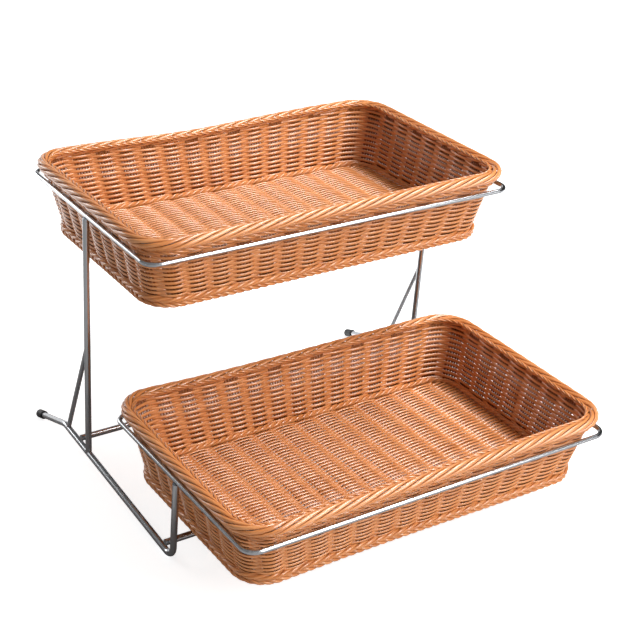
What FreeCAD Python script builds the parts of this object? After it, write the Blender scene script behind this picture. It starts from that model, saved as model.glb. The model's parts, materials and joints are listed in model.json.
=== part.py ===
import FreeCAD, Part
import math
import os

from FreeCAD import Vector

# A two-tier display stand: a bent-rod frame with two wire rings, and a woven basket hung in each ring.
# Lengths are in millimetres and angles in degrees. X runs to the right, Y to the back and Z up.
# The floor is at Z = 0, and the origin lies on it under the middle of the stand's outline.

# Wire rings that the baskets hang in
ring_width = 500.0          # middle of wire to middle of wire, left to right
ring_depth = 314.0          # middle of wire to middle of wire, front to back
ring_wire = 6.0             # diameter of the wire
ring_bend = 16.0            # bend radius at the middle of the wire
tier_tilt = 1.7             # rings and baskets lean down towards the front

# Woven baskets, measured square to the plane of their ring
wall_taper = 12.0           # lean of the walls outwards
wall_thickness = 6.0
wall_corner = 38.0          # plan radius of the wall's outer corners
wall_drop = 57.0            # from the ring plane down to the foot of the wall
rim_width = 18.0            # rolled border along the top
rim_height = 14.0
rim_crown = 6.0             # edge radius along the top of the rim
rim_heel = 4.0              # edge radius along its underside
rim_lip = 2.5               # reach of the rim past the wall's inner face
rim_clear = 9.0             # bare wall between the ring and the rim
rim_wire = 4.0              # stiffening hoop inside the rim
foot_border = 14.0          # braided border round the foot of the wall
foot_flat = 2.5             # depth of the flat that the wall stands on
floor_thickness = 3.0       # between the ribs
stick_spacing = 31.0        # from one group of the floor's sticks to the next
rib_width = 20.0            # swell of the weave over a group of sticks
rib_height = 1.8

# Side frames of bent rod
rod = 8.0
rod_bend = 16.0             # bend under the front upright, at the middle of the rod
rear_bend = 24.0            # bend where the rear foot drops
rail_slope = 5.7            # fall of the rail towards the front
foot_slope = 17.2           # fall of the rear foot towards the back
front_upright_lean = 5.8
rear_upright_lean = 4.0
upright_room = 70.4         # from the lower basket's back to the middle of the rear upright
rail_tail = 71.0            # from the foot of the rear upright back to the rear bend
strut_rod = 6.0
strut_inset = 9.5           # from the rear bend forward to the foot of the strut
strut_rise = 150.0          # from the rear bend up to the top of the strut
bar_stub = 6.5              # reach of the cross-bars past the middle of the uprights

# Caps on the rear feet
cap_wall = 1.5
cap_length = 17.0
cap_end = 3.0               # thickness of the closed end
cap_round = 2.5             # edge radius of the closed end

# Room above and below the tiers
floor_room = 44.0           # from the floor up to the lower basket's foot
tier_room = 148.0           # from the lower basket's rim up to the upper basket's foot

# Clearances
seat_gap = 0.3              # basket wall to the ring's side bars
end_gap = 4.0               # basket wall to the ring's front and back bars
weld_gap = 0.3              # between rods that are welded to each other
sleeve_gap = 0.15           # cap to rod
weave_gap = 0.3             # between woven pieces that lie side by side

UP = Vector(0, 0, 1)
ACROSS = Vector(1, 0, 0)
BACK = Vector(0, 1, 0)
QUARTER = 90.0
QUADRANTS = ((1, 1), (-1, 1), (-1, -1), (1, -1))
SIDES = (("left", -1), ("right", 1))
TAPER = math.tan(math.radians(wall_taper))

# Levels of a basket above the plane of its ring
wall_top = ring_wire / 2 + rim_clear
rim_middle = wall_top + rim_height / 2
rim_top = wall_top + rim_height
border_radius = foot_border / 2
border_middle = foot_flat - wall_drop - border_radius
basket_foot = border_middle - border_radius

# Half sizes of the wall's outer face where it crosses the ring plane
seat_half_width = ring_width / 2 - (ring_wire / 2 + seat_gap) / math.cos(math.radians(wall_taper))
seat_half_depth = ring_depth / 2 - ring_wire / 2 - end_gap
wall_inset = wall_thickness / math.cos(math.radians(wall_taper))

# The side frames stand under the ring's side bars, just clear of the wall
frame_half_width = seat_half_width + seat_gap + rod / 2

# Path of the rim's middle, and of the foot border's
rim_reach = wall_top * TAPER - wall_inset - rim_lip + rim_width / 2
rim_path = (seat_half_width + rim_reach, seat_half_depth + rim_reach,
            wall_corner - wall_inset - rim_lip + rim_width / 2)
foot_reach = -wall_drop * TAPER - wall_inset / 2
foot_path = (seat_half_width + foot_reach, seat_half_depth + foot_reach, wall_corner - wall_inset / 2)

cap_radius = rod / 2 + sleeve_gap + cap_wall

# Heights of the two ring planes at their uprights
lower_ring_height = floor_room - basket_foot
upper_ring_height = lower_ring_height + rim_top + tier_room - basket_foot


def heading(angle):
    """Unit vector of the side view, from straight back at 0 to straight up at 90."""
    return Vector(0, math.cos(math.radians(angle)), math.sin(math.radians(angle)))


def meeting(point, way, other_point, other_way):
    """Point where two lines of the side view cross."""
    gap = other_point - point
    share = (gap.y * other_way.z - gap.z * other_way.y) / (way.y * other_way.z - way.z * other_way.y)
    return point + way * share


def at_height(point, way, height):
    """Point at the given height on a line of the side view."""
    return point + way * ((height - point.z) / way.z)


def bend_run(way_in, way_out, radius):
    """Length that a bend of the given radius takes up on each side of its corner."""
    return radius * math.tan(way_in.getAngle(way_out) / 2)


def bend_centre(corner, way_in, way_out, radius):
    """Middle of the arc that rounds a corner."""
    inward = (way_out - way_in).normalize()
    return corner + inward * math.hypot(radius, bend_run(way_in, way_out, radius))


def bent_rod(points, bends, diameter):
    """Round rod along straight runs, with an arc of the listed radius at each inner point."""
    edges = []
    start = points[0]
    for before, corner, after, radius in zip(points, points[1:], points[2:], bends):
        way_in = (corner - before).normalize()
        way_out = (after - corner).normalize()
        run = bend_run(way_in, way_out, radius)
        centre = bend_centre(corner, way_in, way_out, radius)
        halfway = centre + (corner - centre).normalize() * radius
        arc_start = corner - way_in * run
        arc_end = corner + way_out * run
        edges.append(Part.LineSegment(start, arc_start).toShape())
        edges.append(Part.Arc(arc_start, halfway, arc_end).toShape())
        start = arc_end
    edges.append(Part.LineSegment(start, points[-1]).toShape())
    circle = Part.Circle(points[0], points[1] - points[0], diameter / 2)
    return Part.Wire(edges).makePipeShell([Part.Wire(circle.toShape())], True, False)


def straight_rod(start, end, diameter):
    """Round rod with square ends between two points."""
    return Part.makeCylinder(diameter / 2, start.distanceToPoint(end), start, end - start)


def disc(radius):
    """Round section in the XZ plane, with X pointing out of the loop that it is carried round."""
    circle = Part.Circle(Vector(), Vector(0, -1, 0), radius)
    return Part.Face(Part.Wire(circle.toShape()))


def flat_topped_disc(radius, flat):
    """Round section with a flat cut off its top."""
    chord = math.sqrt(radius ** 2 - (radius - flat) ** 2)
    left = Vector(-chord, 0, radius - flat)
    right = Vector(chord, 0, radius - flat)
    arc = Part.Arc(left, Vector(0, 0, -radius), right).toShape()
    return Part.Face(Part.Wire([arc, Part.LineSegment(right, left).toShape()]))


def rounded_wire(half_width, half_depth, radii):
    """Closed wire of a rectangle about the origin, with a radius for each corner in the quadrants' order."""
    arcs = []
    for index, ((x, y), radius) in enumerate(zip(QUADRANTS, radii)):
        middle = Vector(x * (half_width - radius), y * (half_depth - radius), 0)
        angles = [math.radians(QUARTER * (index + share)) for share in (0, 0.5, 1)]
        arcs.append([middle + Vector(math.cos(angle), math.sin(angle), 0) * radius for angle in angles])
    edges = []
    for index, points in enumerate(arcs):
        edges.append(Part.Arc(*points).toShape())
        edges.append(Part.LineSegment(points[-1], arcs[(index + 1) % len(arcs)][0]).toShape())
    return Part.Wire(edges)


def outline(half_width, half_depth, corner, level):
    """Closed wire of a rounded rectangle at one level."""
    return rounded_wire(half_width, half_depth, [corner] * len(QUADRANTS)).translated(UP * level)


def roll_section(width, height, crown, heel):
    """Section of a rolled border: well rounded top edges over a flat underside with smaller ones."""
    face = Part.Face(rounded_wire(width / 2, height / 2, (crown, crown, heel, heel)))
    face.rotate(Vector(), ACROSS, QUARTER)
    return face


def loop(section, path, level):
    """Carry a section round a rounded rectangle, given as half width, half depth and corner radius."""
    half_width, half_depth, corner = path
    spots = [Vector(x * (half_width - corner), y * (half_depth - corner), level) for x, y in QUADRANTS]
    pieces = []
    for index, spot in enumerate(spots):
        face = section.translated(spot + Vector(corner, 0, 0))
        face.rotate(spot, UP, QUARTER * index)
        pieces.append(face.revolve(spot, UP, QUARTER))
        face.rotate(spot, UP, QUARTER)
        pieces.append(face.extrude(spots[(index + 1) % len(spots)] - spot))
    return pieces[0].multiFuse(pieces[1:]).removeSplitter()


def tapered_block(inset, bottom, top):
    """Solid inside the basket's wall at the given inset from its outer face, between two levels."""
    wires = [outline(seat_half_width + level * TAPER - inset, seat_half_depth + level * TAPER - inset,
                     wall_corner - inset, level) for level in (bottom, top)]
    return Part.makeLoft(wires, True, True)


def wire_ring(spare):
    """Ring of wire in its own plane, thicker all round by the spare."""
    return loop(disc(ring_wire / 2 + spare), (ring_width / 2, ring_depth / 2, ring_bend), 0)


def basket():
    """Pieces of one basket, over the plane of its ring."""
    wall = tapered_block(0, -wall_drop, wall_top).cut(
        tapered_block(wall_inset, -wall_drop - wall_thickness, wall_top + wall_thickness))
    hoop = loop(disc(rim_wire / 2), rim_path, rim_middle)
    hoop_room = loop(disc(rim_wire / 2 + weave_gap), rim_path, rim_middle)
    roll = loop(roll_section(rim_width, rim_height, rim_crown, rim_heel), rim_path, rim_middle)
    border = loop(flat_topped_disc(border_radius, foot_flat), foot_path, border_middle)
    floor_inset = border_radius + weave_gap
    panel = ribbed_floor([size - floor_inset for size in foot_path], border_middle - floor_thickness / 2)
    return {"wall": wall, "rim": roll.cut(hoop_room), "rim_wire": hoop, "foot_border": border,
            "floor": panel}


def ribbed_floor(path, level):
    """Floor of a basket: a flat panel whose top swells over each group of sticks from front to back."""
    half_width, half_depth, corner = path
    panel = Part.Face(outline(*path, level)).extrude(UP * floor_thickness)
    room = Part.Face(outline(*path, level)).extrude(UP * (floor_thickness + rib_height))
    swell = (rib_width ** 2 / 4 + rib_height ** 2) / (2 * rib_height)
    groups = int((half_width - rib_width / 2) / stick_spacing)
    crest = level + floor_thickness + rib_height
    ribs = [Part.makeCylinder(swell, 2 * half_depth, Vector(number * stick_spacing, -half_depth, crest - swell), BACK)
            for number in range(-groups, groups + 1)]
    return panel.multiFuse([rib.common(room) for rib in ribs]).removeSplitter()


def on_tier(shape, place):
    """Lean a shape that was made level and set it at its tier's place."""
    placed = shape.copy()
    placed.rotate(Vector(), ACROSS, tier_tilt)
    placed.translate(place)
    return placed


def beside(shape, side):
    """Move a piece of the side view to the left or right side frame."""
    return shape.translated(ACROSS * (side * frame_half_width))


def foot_cap(start, way):
    """Sleeve with a rounded, closed end that is pushed over the end of a rod."""
    body = Part.makeCylinder(cap_radius, cap_length, start, way)
    end = Part.Vertex(start + way * cap_length)
    circles = [edge for edge in body.Edges if edge.isClosed()]
    end_circle = min(circles, key=lambda edge: edge.distToShape(end)[0])
    body = body.makeFillet(cap_round, [end_circle])
    return body.cut(Part.makeCylinder(rod / 2 + sleeve_gap, cap_length - cap_end, start, way))


# Lines of the side view, with the front bend resting on the floor at Y = 0
rail_way = heading(rail_slope)
foot_way = heading(-foot_slope)
front_way = heading(QUARTER + front_upright_lean)
rear_way = heading(QUARTER + rear_upright_lean)
front_corner = Vector(0, 0, rod / 2 + rod_bend) - bend_centre(Vector(), rail_way * -1, front_way, rod_bend)
lower_place = at_height(front_corner, front_way, lower_ring_height)
basket_back = lower_place.y + rim_path[1] + rim_width / 2
behind_basket = Vector(0, basket_back + upright_room, lower_ring_height)
rear_foot = meeting(front_corner, rail_way, behind_basket, rear_way)
upper_place = at_height(rear_foot, rear_way, upper_ring_height)
rear_corner = rear_foot + rail_way * rail_tail

# The rear foot runs on until the rounded end of its cap meets the floor
foot_fall = rear_corner.z - cap_round - (cap_radius - cap_round) * math.cos(math.radians(foot_slope))
foot_length = foot_fall / math.sin(math.radians(foot_slope)) + cap_round

parts = {}

# Rings, and the space that the welded ends of the uprights keep clear of them
wire_room = {}
basket_pieces = basket()
for tier, place in (("upper", upper_place), ("lower", lower_place)):
    parts[tier + "_ring"] = on_tier(wire_ring(0), place)
    wire_room[tier] = on_tier(wire_ring(weld_gap), place)
    for name, piece in basket_pieces.items():
        parts[tier + "_basket_" + name] = on_tier(piece, place)

# Side frames: each rail is one rod with the rear foot and the front upright
rail_end = rear_corner + foot_way * (foot_length - cap_end)
upright_cut = ring_wire / 2
rail_points = [rail_end, rear_corner, front_corner, lower_place - front_way * upright_cut]
strut_foot = rear_corner - rail_way * strut_inset
strut_top = at_height(rear_foot, rear_way, rear_corner.z + strut_rise)
rail = bent_rod(rail_points, (rear_bend, rod_bend), rod)
rail_room = bent_rod(rail_points, (rear_bend, rod_bend), rod + 2 * weld_gap)
upright = straight_rod(rear_foot, upper_place - rear_way * upright_cut, rod).cut(rail_room)
upright_space = straight_rod(rear_foot, upper_place, rod + 2 * weld_gap)
strut = straight_rod(strut_foot, strut_top, strut_rod).cut(rail_room).cut(upright_space)
cap = foot_cap(rear_corner + foot_way * (foot_length - cap_length), foot_way)
for label, side in SIDES:
    parts[label + "_side_rail"] = beside(rail, side).cut(wire_room["lower"])
    parts[label + "_rear_upright"] = beside(upright, side).cut(wire_room["upper"])
    parts[label + "_strut"] = beside(strut, side)
    parts[label + "_foot_cap"] = beside(cap, side)

# Cross-bars lie against the backs of the uprights, just above the front bends
bar_rise = bend_run(rail_way * -1, front_way, rod_bend) + rod / 2
bar_reach = ACROSS * (frame_half_width + bar_stub)
for label, corner, way, lean in (("front", front_corner, front_way, front_upright_lean),
                                 ("rear", rear_foot, rear_way, rear_upright_lean)):
    middle = corner + way * bar_rise + heading(lean) * (rod + weld_gap)
    parts[label + "_cross_bar"] = straight_rod(middle - bar_reach, middle + bar_reach, rod)

# Bring the middle of the outline over the origin
boxes = [shape.optimalBoundingBox(False, False) for shape in parts.values()]
shift = Vector(0, -(min(box.YMin for box in boxes) + max(box.YMax for box in boxes)) / 2, 0)

os.makedirs("parts", exist_ok=True)
for name, shape in parts.items():
    shape.translated(shift).exportStep(f"parts/{name}.step")
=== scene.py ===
import json
from math import cos, pi, radians, sin, tan

import bpy
import numpy as np
from mathutils import Matrix, Vector


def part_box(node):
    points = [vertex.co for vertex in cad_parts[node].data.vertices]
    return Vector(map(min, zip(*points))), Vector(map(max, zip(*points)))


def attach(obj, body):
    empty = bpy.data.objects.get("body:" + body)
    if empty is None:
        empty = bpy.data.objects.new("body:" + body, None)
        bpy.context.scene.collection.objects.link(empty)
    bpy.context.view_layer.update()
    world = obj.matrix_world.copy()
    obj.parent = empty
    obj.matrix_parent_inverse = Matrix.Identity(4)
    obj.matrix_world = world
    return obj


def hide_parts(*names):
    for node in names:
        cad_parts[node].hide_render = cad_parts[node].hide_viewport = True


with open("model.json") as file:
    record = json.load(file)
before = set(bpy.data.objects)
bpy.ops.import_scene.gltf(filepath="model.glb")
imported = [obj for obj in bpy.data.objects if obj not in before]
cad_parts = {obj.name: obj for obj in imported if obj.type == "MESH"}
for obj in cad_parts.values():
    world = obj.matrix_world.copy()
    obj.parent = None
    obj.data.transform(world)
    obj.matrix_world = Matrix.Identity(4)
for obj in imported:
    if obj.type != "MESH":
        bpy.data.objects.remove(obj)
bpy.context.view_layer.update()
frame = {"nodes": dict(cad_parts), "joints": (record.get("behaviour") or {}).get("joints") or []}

MM = 0.001
RIGHT = np.array([1.0, 0.0, 0.0])
BACK = np.array([0.0, 1.0, 0.0])
UP = np.array([0.0, 0.0, 1.0])
TIERS = ("upper", "lower")

# The view: a short telephoto lens from the front left, above the upper basket.
CAMERA_PLACE = Vector((-0.8720, -1.3203, 0.9659))
CAMERA_AIM = Vector((0.0083, -0.0014, 0.2017))
CAMERA_ROLL = radians(1.89)
CAMERA_LENS = 79.95

# Basket sizes, in millimetres, that the solids' boxes don't give.
WALL_CORNER = 38.0
WALL_SLOPE = radians(12)
RIM_CORNER = WALL_CORNER + 0.4
FLOOR_CORNER = WALL_CORNER - 10
FOOT_CORNER = WALL_CORNER - 3
FOOT_RADIUS = 7.0
SAME_LEVEL = 0.05

# The weave, in millimetres: groups of straight sticks, and canes that go in front of one group and behind the
# next.
STICK_GROUPS = 48
STICKS_IN_GROUP = 5
STICK_PITCH = 3.9
STICK_ACROSS = 1.85
STICK_THICK = 0.5
STICK_PAST_WALL = 4.0
STICK_PLACES = (np.arange(STICKS_IN_GROUP) - (STICKS_IN_GROUP - 1) / 2) * STICK_PITCH
CANE_ACROSS = 1.85
CANE_THICK = 1.05
WALL_ROWS = 24
WALL_WAVE = 2.1
WALL_INSET = (WALL_WAVE + CANE_THICK) / cos(WALL_SLOPE)
ROWS_INTO_RIM = 2.0
FLOOR_ROWS = 86
FLOOR_WAVE = 1.5
FLOOR_GROUP_SPACING = 31.0

# Unevenness of hand work, in millimetres: rows of the weave drift along the wall or floor, ropes swell and
# narrow, and the streaks start anywhere along a cane.
ROW_DRIFT = 0.35
ROPE_SWELL = 0.22
GRAIN_START_REACH = 9000

# How finely the canes are cut.
CANE_SIDES = 8
STEPS_PER_GROUP = 8
STEPS_PER_TURN = 14
FLOOR_ROW_STEPS = 121
HOOP_SIDES = 12
HOOP_STEPS = 240

# Where a basket has settled out of true, in millimetres: middle and reach in the plan, and how far its top or
# its foot is up or down.
SETTLED = {
    "upper": (
        {"end": "top", "middle": (-30.0, 160.0), "reach": (115.0, 110.0), "rise": -5.5},
    ),
    "lower": (
        {"end": "top", "middle": (-250.0, 155.0), "reach": (100.0, 100.0), "rise": 5.0},
        {"end": "top", "middle": (250.0, 60.0), "reach": (200.0, 260.0), "rise": 1.5},
        {"end": "foot", "middle": (-60.0, -140.0), "reach": (150.0, 80.0), "rise": 3.0},
    ),
}

# How bright the studio is: the fill on the stand, the white that eye and chrome see round it, and the glow of
# the paper.
FILL_LIGHT = 0.24
WHITE_AROUND = 1.0
PAPER_GLOW = 0.78


class Basket:
    """One basket's place on the stand, with the sizes of its solids in millimetres over its ring's plane."""

    def __init__(self, tier):
        self.tier = tier
        self.body = tier + "_basket"
        low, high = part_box(tier + "_ring")
        self.place = (np.array(low) + np.array(high)) / 2
        lift = [joint["axis"] for joint in frame["joints"] if joint["child"] == self.body][0]
        self.turn = np.array([[1, 0, 0], [0, lift[2], lift[1]], [0, -lift[1], lift[2]]])
        wall = self.corners("wall")
        self.wall_foot = wall[:, 2].min()
        self.wall_top = wall[:, 2].max()
        half_top = self.half_at(wall, self.wall_top)
        self.half_foot = half_top - (self.wall_top - self.wall_foot) * tan(WALL_SLOPE)
        wire = self.corners("rim_wire")
        self.wire_radius = (wire[:, 2].max() - wire[:, 2].min()) / 2
        self.rim_level = wire[:, 2].min() / 2 + wire[:, 2].max() / 2
        self.rim_path = np.abs(wire[:, :2]).max(0) - self.wire_radius
        rim = self.corners("rim")
        self.rim_half_width = np.abs(rim[:, 0]).max() - self.rim_path[0]
        self.rim_half_height = (rim[:, 2].max() - rim[:, 2].min()) / 2
        border = self.corners("foot_border")
        self.foot_level = border[:, 2].min() + FOOT_RADIUS
        self.foot_path = np.abs(border[:, :2]).max(0) - FOOT_RADIUS
        floor = self.corners("floor")
        self.floor_level = floor[:, 2].min() / 2 + floor[:, 2].max() / 2
        self.floor_half = np.abs(floor[:, :2]).max(0)

    def corners(self, part):
        """The vertices of one of the basket's solids, moved and turned back into its own level frame."""
        mesh = frame["nodes"][f"{self.body}_{part}"].data
        points = np.empty(len(mesh.vertices) * 3)
        mesh.vertices.foreach_get("co", points)
        return (points.reshape(-1, 3) - self.place) / MM @ self.turn

    def half_at(self, points, level):
        """Half the width and half the depth of the points at one level."""
        at_level = points[np.abs(points[:, 2] - level) < SAME_LEVEL]
        return np.abs(at_level[:, :2]).max(0)

    def wall_half(self, level):
        """Half the width and half the depth of the wall's outer face, which spreads steadily upwards."""
        return self.half_foot + np.multiply.outer(level - self.wall_foot, np.full(2, tan(WALL_SLOPE)))

    def floor_reach(self, place, axis):
        """How far the floor goes either way along one axis, at places along the other.
        Between the corners that is half the floor's size, and by a corner it follows the corner's quarter
        circle.
        """
        inner = self.floor_half - FLOOR_CORNER
        past = np.clip(np.abs(place) - inner[1 - axis], 0, None)
        return inner[axis] + np.sqrt(FLOOR_CORNER**2 - past**2)

    def put(self, points):
        """Carry points from the level frame to the stand.
        The top or the foot first rises or sags by bell-shaped amounts round places in the plan, each fading
        to none at the other end of the wall; then the points lean with the ring and move to its place.
        """
        height = np.clip((points[..., 2] - self.wall_foot) / (self.wall_top - self.wall_foot), 0, 1)
        moved = points.copy()
        for settled in SETTLED[self.tier]:
            away = (points[..., :2] - settled["middle"]) / settled["reach"]
            share = height if settled["end"] == "top" else 1 - height
            moved[..., 2] += settled["rise"] * share * np.exp(-(away**2).sum(-1))
        return moved @ self.turn.T * MM + self.place


def rounded_rectangle(half_width, half_depth, corner, share):
    """A walk round a rounded rectangle, from the front middle to the right, by share of its length.
    A pointer as long as the corner radius stands on a smaller rectangle; it keeps square to the sides while
    its foot walks along them, and turns a quarter at each corner. Returns the pointer's end and direction.
    """
    side = half_width - corner
    depth = half_depth - corner
    quarter = corner * pi / 2
    runs = np.cumsum([0, side, quarter, 2 * depth, quarter, 2 * side, quarter, 2 * depth, quarter, side])
    walked = np.mod(share, 1.0) * runs[-1]
    across = np.interp(walked, runs, np.array([0, 1, 1, 1, 1, -1, -1, -1, -1, 0]) * side)
    back = np.interp(walked, runs, np.array([-1, -1, -1, 1, 1, 1, 1, -1, -1, -1]) * depth)
    angle = np.interp(walked, runs, np.array([-1, -1, 0, 0, 1, 1, 2, 2, 3, 3]) * pi / 2)
    out = np.stack([np.cos(angle), np.sin(angle), np.zeros_like(angle)], -1)
    foot = np.stack([across, back, np.zeros_like(angle)], -1)
    return foot + corner * out, out


def wander(count, steps, turns, seed):
    """Slow unevenness of hand work, a row for each cane: the mean of sine waves that close on themselves."""
    dice = np.random.default_rng(seed)
    along = np.linspace(0, 2 * pi, steps, endpoint=False)
    waves = np.zeros((count, steps))
    for turn in turns:
        start = dice.uniform(0, 2 * pi, (count, 1))
        waves += dice.uniform(0.4, 1.0, (count, 1)) * np.sin(turn * along + start)
    return waves / len(turns)


def canes(basket, name, middle, first, second, half_first, half_second, sides, closed):
    """A piece of many canes: an ellipse carried along each line of middles.
    Each point is the line's middle, plus half_first times the cosine of an angle along the first axis, plus
    half_second times its sine along the second; the first axis turned to the second looks along the cane.
    The vector attribute "cane" keeps the length along the cane and the place across it, for the streaks.
    """
    count, steps = middle.shape[:2]
    angle = 2 * pi * np.arange(sides) / sides
    across = half_first * np.cos(angle)
    thick = half_second * np.sin(angle)
    points = middle[:, :, None, :] + across[:, None] * first[:, :, None, :]
    points = points + thick[:, None] * second[:, :, None, :]
    number = np.arange(count * steps * sides).reshape(count, steps, sides)
    here = number if closed else number[:, :-1]
    ahead = np.roll(number, -1, 1) if closed else number[:, 1:]
    quads = np.stack([here, np.roll(here, -1, 2), np.roll(ahead, -1, 2), ahead], -1)
    corners = [quads.reshape(-1)]
    starts = [np.arange(quads.size // 4) * 4]
    if not closed:
        ends = np.concatenate([number[:, 0, ::-1], number[:, -1]])
        corners.append(ends.reshape(-1))
        starts.append(quads.size + np.arange(len(ends)) * sides)
    corners = np.concatenate(corners)
    starts = np.concatenate(starts)
    mesh = bpy.data.meshes.new(name)
    mesh.vertices.add(points.size // 3)
    mesh.vertices.foreach_set("co", basket.put(points).reshape(-1))
    mesh.loops.add(len(corners))
    mesh.loops.foreach_set("vertex_index", corners.astype(np.int32))
    mesh.polygons.add(len(starts))
    mesh.polygons.foreach_set("loop_start", starts.astype(np.int32))
    mesh.polygons.foreach_set("use_smooth", np.ones(len(starts), bool))
    mesh.update(calc_edges=True)
    step = np.linalg.norm(np.diff(middle, axis=1, prepend=middle[:, :1]), axis=-1)
    dice = np.random.default_rng(count + steps)
    along = np.cumsum(step, 1) + dice.uniform(0, GRAIN_START_REACH, (count, 1))
    grain = np.empty(points.shape)
    grain[..., 0] = along[:, :, None]
    grain[..., 1] = across
    grain[..., 2] = thick
    layer = mesh.attributes.new("cane", "FLOAT_VECTOR", "POINT")
    layer.data.foreach_set("vector", (grain * MM).reshape(-1))
    piece = bpy.data.objects.new(name, mesh)
    bpy.context.scene.collection.objects.link(piece)
    mesh.materials.append(WOVEN_CANE)
    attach(piece, basket.body)
    return piece


def over_and_under(phase):
    """The wave of a cane that lies flat over a group of sticks and crosses to the other side between groups:
    1.1 c - 0.1 c cubed, with c the cosine of the phase, which gains half a turn for each group.
    """
    crest = np.cos(phase)
    return 1.1 * crest - 0.1 * crest**3


def wall_axes(out):
    """The axes of the leaning wall where its plan looks outwards: square to its face, and up along it.
    Both are the outward and the upward direction, turned together by the wall's slope.
    """
    face = out * cos(WALL_SLOPE) - UP * sin(WALL_SLOPE)
    rise = out * sin(WALL_SLOPE) + UP * cos(WALL_SLOPE)
    return face, rise


def wall_weave(basket):
    """The wall's canes: level rounded rectangles that grow with the wall's slope.
    Each cane waves across the wall by over_and_under, and rows next to each other wave oppositely.
    """
    steps = STICK_GROUPS * STEPS_PER_GROUP
    share = np.arange(steps) / steps
    pitch = (basket.wall_top + ROWS_INTO_RIM - basket.wall_foot) / WALL_ROWS
    levels = basket.wall_foot + pitch * (np.arange(WALL_ROWS) + 0.5)
    rows = []
    outs = []
    for half in basket.wall_half(levels) - WALL_INSET:
        line, out = rounded_rectangle(half[0], half[1], WALL_CORNER - WALL_INSET, share)
        rows.append(line)
        outs.append(out)
    line = np.array(rows)
    face, rise = wall_axes(np.array(outs))
    row = np.arange(WALL_ROWS)[:, None]
    wave = WALL_WAVE * over_and_under(pi * (STICK_GROUPS * share + row))
    drift = ROW_DRIFT * wander(WALL_ROWS, steps, (5, 11, 23, 41), seed=3)
    line = line + levels[:, None, None] * UP + wave[..., None] * face + drift[..., None] * rise
    piece = canes(basket, basket.tier + "_wall_weave", line, rise, face,
                  CANE_ACROSS, CANE_THICK, CANE_SIDES, True)
    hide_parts(basket.body + "_wall")


def wall_sticks(basket):
    """The wall's straight sticks, in groups: a straight line from the foot border up into the rim."""
    levels = np.array([basket.wall_foot - STICK_PAST_WALL, basket.wall_top + STICK_PAST_WALL])
    corner = WALL_CORNER - WALL_INSET
    ends = []
    for half in basket.wall_half(levels) - WALL_INSET:
        length = 4 * (half.sum() - 2 * corner) + 2 * pi * corner
        share = np.add.outer(np.arange(STICK_GROUPS) / STICK_GROUPS, STICK_PLACES / length).reshape(-1)
        line, out = rounded_rectangle(half[0], half[1], corner, share)
        ends.append(line)
    line = np.stack(ends, 1) + levels[:, None] * UP
    out = np.repeat(out[:, None, :], 2, 1)
    face, _ = wall_axes(out)
    beside = np.cross(UP, out)
    sticks = canes(basket, basket.tier + "_wall_sticks", line, face, beside,
                   STICK_THICK, STICK_ACROSS, CANE_SIDES, False)
    # the wall sticks take the darkened cane: painted shade for the gaps between rows
    sticks.data.materials[0] = STICK_CANE_PAINTED_SHADE


def floor_weave(basket):
    """The floor's canes, from side to side: straight rows cut to the floor's rounded outline.
    Each cane waves up and down by over_and_under, and rows next to each other wave oppositely.
    """
    back = np.linspace(-1, 1, FLOOR_ROWS) * (basket.floor_half[1] - CANE_ACROSS)
    across = np.multiply.outer(basket.floor_reach(back, 0), np.linspace(-1, 1, FLOOR_ROW_STEPS))
    row = np.arange(FLOOR_ROWS)[:, None]
    wave = FLOOR_WAVE * over_and_under(pi * (across / FLOOR_GROUP_SPACING + row))
    drift = ROW_DRIFT * wander(FLOOR_ROWS, FLOOR_ROW_STEPS, (1, 2, 5, 9), seed=5)
    line = np.stack([across, back[:, None] + drift, basket.floor_level + wave], -1)
    beside = np.broadcast_to(BACK, line.shape)
    over = np.broadcast_to(UP, line.shape)
    piece = canes(basket, basket.tier + "_floor_weave", line, beside, over,
                  CANE_ACROSS, CANE_THICK, CANE_SIDES, False)
    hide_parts(basket.body + "_floor")


def floor_sticks(basket):
    """The floor's straight sticks, from front to back and cut to its rounded outline.
    Their groups are set out evenly both ways from its middle, and sticks past its sides are left out.
    """
    groups = int(basket.floor_half[0] / FLOOR_GROUP_SPACING)
    across = np.add.outer(np.arange(-groups, groups + 1) * FLOOR_GROUP_SPACING, STICK_PLACES).reshape(-1)
    across = across[np.abs(across) < basket.floor_half[0] - STICK_ACROSS]
    ends = np.multiply.outer(basket.floor_reach(across, 1), np.array([-1.0, 1.0]))
    line = np.stack([np.repeat(across[:, None], 2, 1), ends, np.full(ends.shape, basket.floor_level)], -1)
    over = np.broadcast_to(UP, line.shape)
    beside = np.broadcast_to(RIGHT, line.shape)
    sticks = canes(basket, basket.tier + "_floor_sticks", line, over, beside,
                   STICK_THICK, STICK_ACROSS, CANE_SIDES, False)
    # the floor sticks take the darkened cane: painted shade for the gaps between rows
    sticks.data.materials[0] = STICK_CANE_PAINTED_SHADE


def laid_rope(basket, name, path, corner, level, *, strands, circuits, turns, helix, cane, hand, seed):
    """Canes laid round a core that follows a rounded rectangle.
    A cane's middle is the core's, plus a pointer as long as the helix's radius, in the plane of outward and
    up, that turns steadily: so many turns in so many circuits, after which the cane meets its own start.
    The canes start at equal angles. Cane gives half the width and half the thickness of each.
    Hand 1 climbs over the core from outside to inside as it goes to the right along the front, hand -1 the
    other way.
    """
    steps = turns * STEPS_PER_TURN
    share = np.arange(steps) * circuits / steps
    middle, out = rounded_rectangle(path[0], path[1], corner, share)
    start = np.arange(strands)[:, None] / (strands * circuits)
    angle = hand * 2 * pi * (turns * share / circuits + start)
    radial = np.cos(angle)[..., None] * out + np.sin(angle)[..., None] * UP
    around = np.cos(angle)[..., None] * UP - np.sin(angle)[..., None] * out
    swell = helix + ROPE_SWELL * wander(strands, steps, (7, 19, 37, 61), seed)
    line = middle + level * UP + swell[..., None] * radial
    return canes(basket, name, line, around, radial, cane[0], cane[1], CANE_SIDES, True)


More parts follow.
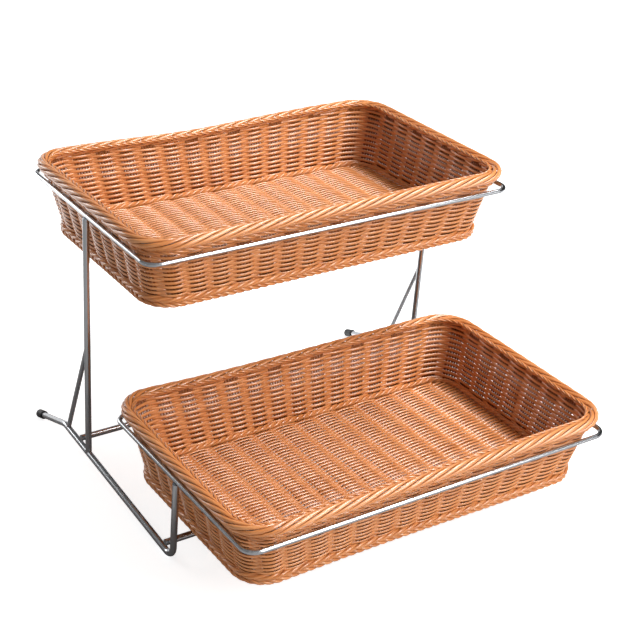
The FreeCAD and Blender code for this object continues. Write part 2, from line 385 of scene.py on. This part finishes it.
def rim(basket):
    """The rim: a roll of flat canes of a long lay, and a thin rope along its inner edge.
    The roll fills the rim's height and lies by its outer side; the rope's one cane goes round three times.
    """
    radius = basket.rim_half_height
    side_room = 0.6
    cane_room = 1.7
    shift = basket.rim_half_width - radius - side_room
    roll = laid_rope(basket, basket.tier + "_rim_roll",
                     basket.rim_path + shift, RIM_CORNER + shift, basket.rim_level,
                     strands=2, circuits=3, turns=35, helix=radius - cane_room, cane=(2.5, 1.6), hand=1,
                     seed=11)
    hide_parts(basket.body + "_rim")
    rope_radius = 2.6
    inwards = basket.rim_half_width - rope_radius
    laid_rope(basket, basket.tier + "_rim_inner_row",
              basket.rim_path - inwards, RIM_CORNER - inwards, basket.rim_level + rope_radius,
              strands=1, circuits=3, turns=148, helix=1.4, cane=(1.35, 1.1), hand=-1, seed=13)


def rim_hoop(basket):
    """The steel hoop in the rim: a round wire on the rim's rounded rectangle, which settles with the rim."""
    share = np.arange(HOOP_STEPS)[None, :] / HOOP_STEPS
    line, out = rounded_rectangle(*basket.rim_path, RIM_CORNER, share)
    line = line + basket.rim_level * UP
    over = np.broadcast_to(UP, line.shape)
    radius = basket.wire_radius
    hoop = canes(basket, basket.tier + "_rim_hoop", line, over, out, radius, radius, HOOP_SIDES, True)
    hoop.data.materials[0] = HOOP_STEEL
    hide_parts(basket.body + "_rim_wire")


def waling(basket):
    """Two ropes under the rim outside, laid the other way from the roll.
    Each is one cane that goes round three times, with its core just under the wall's outer face.
    """
    under_face = 0.2
    # name, drop under the wall's top, turns
    rows = (
        ("rim_waling_upper", -1.2, 112),
        ("rim_waling_lower", 3.6, 110),
    )
    for name, drop, turns in rows:
        level = basket.wall_top - drop
        half = basket.wall_half(np.array([level]))[0]
        laid_rope(basket, f"{basket.tier}_{name}", half - under_face, WALL_CORNER, level,
                  strands=1, circuits=3, turns=turns, helix=1.75, cane=(1.75, 1.35), hand=-1, seed=17)


def foot(basket):
    """The foot border: two ropes of opposite hands outside, and two inside at the floor's edge.
    In each pair one lies over the other, and each is one cane that goes round three times.
    """
    # name, shift outwards, lift over the border's middle, hand, turns
    rows = (
        ("foot_braid_upper", 2.4, 3.0, 1, 100),
        ("foot_braid_lower", 1.9, -3.0, -1, 133),
        ("foot_braid_inner", -3.2, 3.0, 1, 133),
        ("foot_braid_under", -3.2, -3.0, 1, 133),
    )
    for name, shift, lift, hand, turns in rows:
        rope = laid_rope(basket, f"{basket.tier}_{name}",
                         basket.foot_path + shift, FOOT_CORNER + shift, basket.foot_level + lift,
                         strands=1, circuits=3, turns=turns, helix=1.9, cane=(2.0, 1.8), hand=hand,
                         seed=19 + hand)
        if name == "foot_braid_upper":
            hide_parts(basket.body + "_foot_border")


def linear(colour):
    """An sRGB hex colour as the linear values that nodes take."""
    parts = [int(colour[place:place + 2], 16) / 255 for place in (1, 3, 5)]
    return [part / 12.92 if part <= 0.04045 else ((part + 0.055) / 1.055) ** 2.4 for part in parts] + [1.0]


def add(tree, kind, settings=None, links=None):
    """Add a node, set its properties, sockets and colour stops by name, and link other outputs to it."""
    node = tree.nodes.new(kind)
    for name, value in (settings or {}).items():
        if name == "stops":
            elements = node.color_ramp.elements
            while len(elements) < len(value):
                elements.new(0.5)
            for element, (place, colour) in zip(elements, value):
                element.position = place
                element.color = linear(colour)
        elif name in node.inputs:
            node.inputs[name].default_value = value
        else:
            setattr(node, name, value)
    for name, output in (links or {}).items():
        tree.links.new(output, node.inputs[name])
    return node


def new_material(name):
    """A material with an empty node tree, and that tree."""
    material = bpy.data.materials.new(name)
    material.use_nodes = True
    material.node_tree.nodes.clear()
    return material, material.node_tree


def per_metre(size):
    """The scale of a pattern whose marks are so many millimetres long, on coordinates in metres."""
    return 1 / (size * MM)


def woven_cane(name, dark, middle, light):
    """Extruded polypropylene cane: satin gloss, fine drawn streaks along it, tone uneven by length."""
    material, tree = new_material(name)
    place = add(tree, "ShaderNodeAttribute", {"attribute_name": "cane"}).outputs["Vector"]
    # drawn streaks 60 mm long and 0.6 mm wide
    streak = (per_metre(60), per_metre(0.6), per_metre(0.6))
    stretched = add(tree, "ShaderNodeMapping", {"Scale": streak}, {"Vector": place})
    streaks = add(tree, "ShaderNodeTexNoise", {"Scale": 1.0, "Detail": 2.0},
                  {"Vector": stretched.outputs[0]})
    # tone that changes every 90 mm or so along a cane, and from cane to cane
    spread = add(tree, "ShaderNodeMapping", {"Scale": (per_metre(90), 0.0, 0.0)}, {"Vector": place})
    tone = add(tree, "ShaderNodeTexNoise", {"Scale": 1.0, "Detail": 3.0, "Roughness": 0.6},
               {"Vector": spread.outputs[0]})
    blend = add(tree, "ShaderNodeMix", {"data_type": "FLOAT", "Factor": 0.35},
                {"A": tone.outputs[0], "B": streaks.outputs[0]})
    stops = ((0.30, dark), (0.5, middle), (0.70, light))
    colour = add(tree, "ShaderNodeValToRGB", {"stops": stops}, {"Fac": blend.outputs[0]})
    bump = add(tree, "ShaderNodeBump", {"Strength": 0.06, "Distance": 0.2 * MM},
               {"Height": streaks.outputs[0]})
    gloss = {"Roughness": 0.3, "IOR": 1.49, "Coat Weight": 0.7, "Coat Roughness": 0.22}
    shader = add(tree, "ShaderNodeBsdfPrincipled", gloss,
                 {"Base Color": colour.outputs[0], "Normal": bump.outputs[0], "Coat Normal": bump.outputs[0]})
    add(tree, "ShaderNodeOutputMaterial", {}, {"Surface": shader.outputs[0]})
    return material


def chromed_steel():
    """Bright chromium plate on drawn wire: a mirror, a little wavy from the polishing under it."""
    material, tree = new_material("chromium_plated_steel")
    place = add(tree, "ShaderNodeTexCoord").outputs["Object"]
    # very shallow polishing waves about 12 mm long
    waves = add(tree, "ShaderNodeTexNoise", {"Scale": per_metre(12), "Detail": 1.0}, {"Vector": place})
    bump = add(tree, "ShaderNodeBump", {"Strength": 0.05, "Distance": 0.2 * MM},
               {"Height": waves.outputs[0]})
    # hazy patches about 40 mm across
    haze = add(tree, "ShaderNodeTexNoise", {"Scale": per_metre(40), "Detail": 3.0}, {"Vector": place})
    rough = add(tree, "ShaderNodeMapRange", {"To Min": 0.16, "To Max": 0.24}, {"Value": haze.outputs[0]})
    shader = add(tree, "ShaderNodeBsdfPrincipled", {"Base Color": linear("#C0C2C5"), "Metallic": 1.0},
                 {"Roughness": rough.outputs[0], "Normal": bump.outputs[0]})
    add(tree, "ShaderNodeOutputMaterial", {}, {"Surface": shader.outputs[0]})
    return material


def cap_plastic():
    """Dipped black PVC on the feet: dull, with a fine orange-peel skin."""
    material, tree = new_material("dipped_black_pvc")
    place = add(tree, "ShaderNodeTexCoord").outputs["Object"]
    # skin grain about 0.8 mm
    grain = add(tree, "ShaderNodeTexNoise", {"Scale": per_metre(0.8), "Detail": 2.0}, {"Vector": place})
    bump = add(tree, "ShaderNodeBump", {"Strength": 0.3, "Distance": 0.1 * MM}, {"Height": grain.outputs[0]})
    # worn, greyer patches about 10 mm across
    wear = add(tree, "ShaderNodeTexNoise", {"Scale": per_metre(10), "Detail": 3.0}, {"Vector": place})
    stops = ((0.3, "#0C0C0D"), (0.75, "#242426"))
    colour = add(tree, "ShaderNodeValToRGB", {"stops": stops}, {"Fac": wear.outputs[0]})
    shader = add(tree, "ShaderNodeBsdfPrincipled", {"Roughness": 0.45},
                 {"Base Color": colour.outputs[0], "Normal": bump.outputs[0]})
    add(tree, "ShaderNodeOutputMaterial", {}, {"Surface": shader.outputs[0]})
    return material


def hoop_steel():
    """Drawn steel wire inside the rim: grey, with dull patches."""
    material, tree = new_material("drawn_steel_wire")
    place = add(tree, "ShaderNodeTexCoord").outputs["Object"]
    # dull patches about 6 mm across
    dull = add(tree, "ShaderNodeTexNoise", {"Scale": per_metre(6), "Detail": 4.0}, {"Vector": place})
    stops = ((0.3, "#8E8F92"), (0.7, "#B4B5B8"))
    colour = add(tree, "ShaderNodeValToRGB", {"stops": stops}, {"Fac": dull.outputs[0]})
    rough = add(tree, "ShaderNodeMapRange", {"To Min": 0.3, "To Max": 0.5}, {"Value": dull.outputs[0]})
    shader = add(tree, "ShaderNodeBsdfPrincipled", {"Metallic": 1.0},
                 {"Base Color": colour.outputs[0], "Roughness": rough.outputs[0]})
    add(tree, "ShaderNodeOutputMaterial", {}, {"Surface": shader.outputs[0]})
    return material


def seen_directly(tree):
    """One for rays that the eye, metal or glass sends out, so that all three see the same background."""
    rays = add(tree, "ShaderNodeLightPath").outputs
    seen = add(tree, "ShaderNodeMath", {"operation": "MAXIMUM"},
               {0: rays["Is Camera Ray"], 1: rays["Is Glossy Ray"]})
    return add(tree, "ShaderNodeMath", {"operation": "MAXIMUM"},
               {0: seen.outputs[0], 1: rays["Is Transmission Ray"]}).outputs[0]


def floor_paper():
    """White studio paper: its glow makes it white to eye, chrome and glass, and it keeps the shadow."""
    material, tree = new_material("studio_paper")
    level = add(tree, "ShaderNodeMapRange", {"To Max": PAPER_GLOW}, {"Value": seen_directly(tree)})
    paper = add(tree, "ShaderNodeBsdfDiffuse", {"Color": linear("#E8E8E8")})
    glow = add(tree, "ShaderNodeEmission", {}, {"Strength": level.outputs[0]})
    both = add(tree, "ShaderNodeAddShader", {}, {0: paper.outputs[0], 1: glow.outputs[0]})
    add(tree, "ShaderNodeOutputMaterial", {}, {"Surface": both.outputs[0]})
    return material


def card_paper(name, colour):
    """Matt card that stands out of view, so that the chrome has something darker than the paper to show."""
    material, tree = new_material(name)
    paper = add(tree, "ShaderNodeBsdfDiffuse", {"Color": linear(colour)})
    add(tree, "ShaderNodeOutputMaterial", {}, {"Surface": paper.outputs[0]})
    return material


def sheet_of(name, corner, first, second, material):
    """A flat piece of the studio: a corner and the two sides that start there."""
    corner, first, second = np.array(corner), np.array(first), np.array(second)
    mesh = bpy.data.meshes.new(name)
    mesh.from_pydata([corner, corner + first, corner + first + second, corner + second], [], [(0, 1, 2, 3)])
    mesh.materials.append(material)
    sheet = bpy.data.objects.new(name, mesh)
    bpy.context.scene.collection.objects.link(sheet)
    return sheet


def softbox(name, place, aim, width, length, watts):
    """A soft rectangular lamp that faces a point, with its length level."""
    lamp = bpy.data.lights.new(name, "AREA")
    lamp.shape = "RECTANGLE"
    lamp.size = width
    lamp.size_y = length
    lamp.energy = watts
    box = bpy.data.objects.new(name, lamp)
    box.location = place
    box.rotation_euler = (Vector(aim) - box.location).to_track_quat("-Z", "X").to_euler()
    bpy.context.scene.collection.objects.link(box)


def studio():
    """A wide white paper floor, soft lights at the right, in front and behind, and cards for the chrome."""
    sheet_of("paper_floor", (-6.0, -6.0, 0.0), (12.0, 0.0, 0.0), (0.0, 12.0, 0.0), floor_paper())
    grey = card_paper("grey_card", "#B0B0B0")
    black = card_paper("black_card", "#1E1E1E")
    # corner, the two sides that start there, and paper
    cards = {
        "card_behind_camera": ((-2.5, -0.6, 0.0), (2.9, -1.9, 0.0), (0.0, 0.0, 2.7), grey),
        "card_before_stand": ((-1.14, 1.17, 0.002), (2.6, -1.75, 0.0), (-1.51, -2.28, 0.0), grey),
        "card_at_left": ((-2.6, -3.0, 0.0), (0.0, 6.5, 0.0), (0.0, 0.0, 2.7), grey),
        "card_at_right": ((2.6, 3.5, 0.0), (0.0, -6.5, 0.0), (0.0, 0.0, 2.7), black),
        "card_overhead": ((-6.0, -6.0, 2.7), (12.0, 0.0, 0.0), (0.0, 12.0, 0.0), grey),
    }
    for name, (corner, first, second, paper) in cards.items():
        card = sheet_of(name, corner, first, second, paper)
        card.visible_camera = False
        card.visible_diffuse = False
        card.visible_shadow = False
        card.visible_transmission = False
    stand_middle = (0.0, 0.0, 0.2)
    baskets_front = (0.0, -0.25, 0.2)
    softbox("long_softbox", (0.95, -0.25, 1.9), baskets_front, width=0.5, length=1.4, watts=38)
    softbox("front_softbox", (0.85, -1.75, 1.35), stand_middle, width=1.7, length=0.7, watts=42)
    softbox("back_softbox", (-0.9, 1.6, 0.75), stand_middle, width=0.6, length=0.8, watts=7)
    world = bpy.data.worlds.new("soft_fill")
    bpy.context.scene.world = world
    world.use_nodes = True
    tree = world.node_tree
    tree.nodes.clear()
    level = add(tree, "ShaderNodeMapRange", {"To Min": FILL_LIGHT, "To Max": WHITE_AROUND},
                {"Value": seen_directly(tree)})
    around = add(tree, "ShaderNodeBackground", {"Color": linear("#FFFFFF")}, {"Strength": level.outputs[0]})
    add(tree, "ShaderNodeOutputWorld", {}, {"Surface": around.outputs[0]})


def camera():
    """The camera: aimed at a point and rolled about its own axis."""
    lens = bpy.data.cameras.new("camera")
    lens.lens = CAMERA_LENS
    eye = bpy.data.objects.new("camera", lens)
    aim = (CAMERA_AIM - CAMERA_PLACE).to_track_quat("-Z", "Y").to_matrix()
    turn = aim @ Matrix.Rotation(CAMERA_ROLL, 3, "Z")
    eye.matrix_world = Matrix.Translation(CAMERA_PLACE) @ turn.to_4x4()
    bpy.context.scene.collection.objects.link(eye)
    bpy.context.scene.camera = eye


def finish_frame():
    """Give the stand's rods chrome and its caps black PVC. Canes and hoops replace the baskets' solids."""
    chrome = chromed_steel()
    pvc = cap_plastic()
    for name, node in frame["nodes"].items():
        if "_basket_" not in name:
            node.data.materials.clear()
            node.data.materials.append(pvc if name.endswith("_foot_cap") else chrome)


# The canes are honey brown. The sticks behind them are the same cane with a painted shade, a deeper brown
# that stands in for the shadow in the gaps between canes.
WOVEN_CANE = woven_cane("woven_polypropylene_cane", "#AE622C", "#D4884C", "#E6A570")
STICK_CANE_PAINTED_SHADE = woven_cane("polypropylene_stick_painted_shade", "#78421E", "#925429", "#AA6C40")
HOOP_STEEL = hoop_steel()
finish_frame()
for tier in TIERS:
    basket = Basket(tier)
    wall_weave(basket)
    wall_sticks(basket)
    floor_weave(basket)
    floor_sticks(basket)
    rim(basket)
    rim_hoop(basket)
    waling(basket)
    foot(basket)
studio()
camera()
bpy.context.scene.view_settings.view_transform = "Standard"
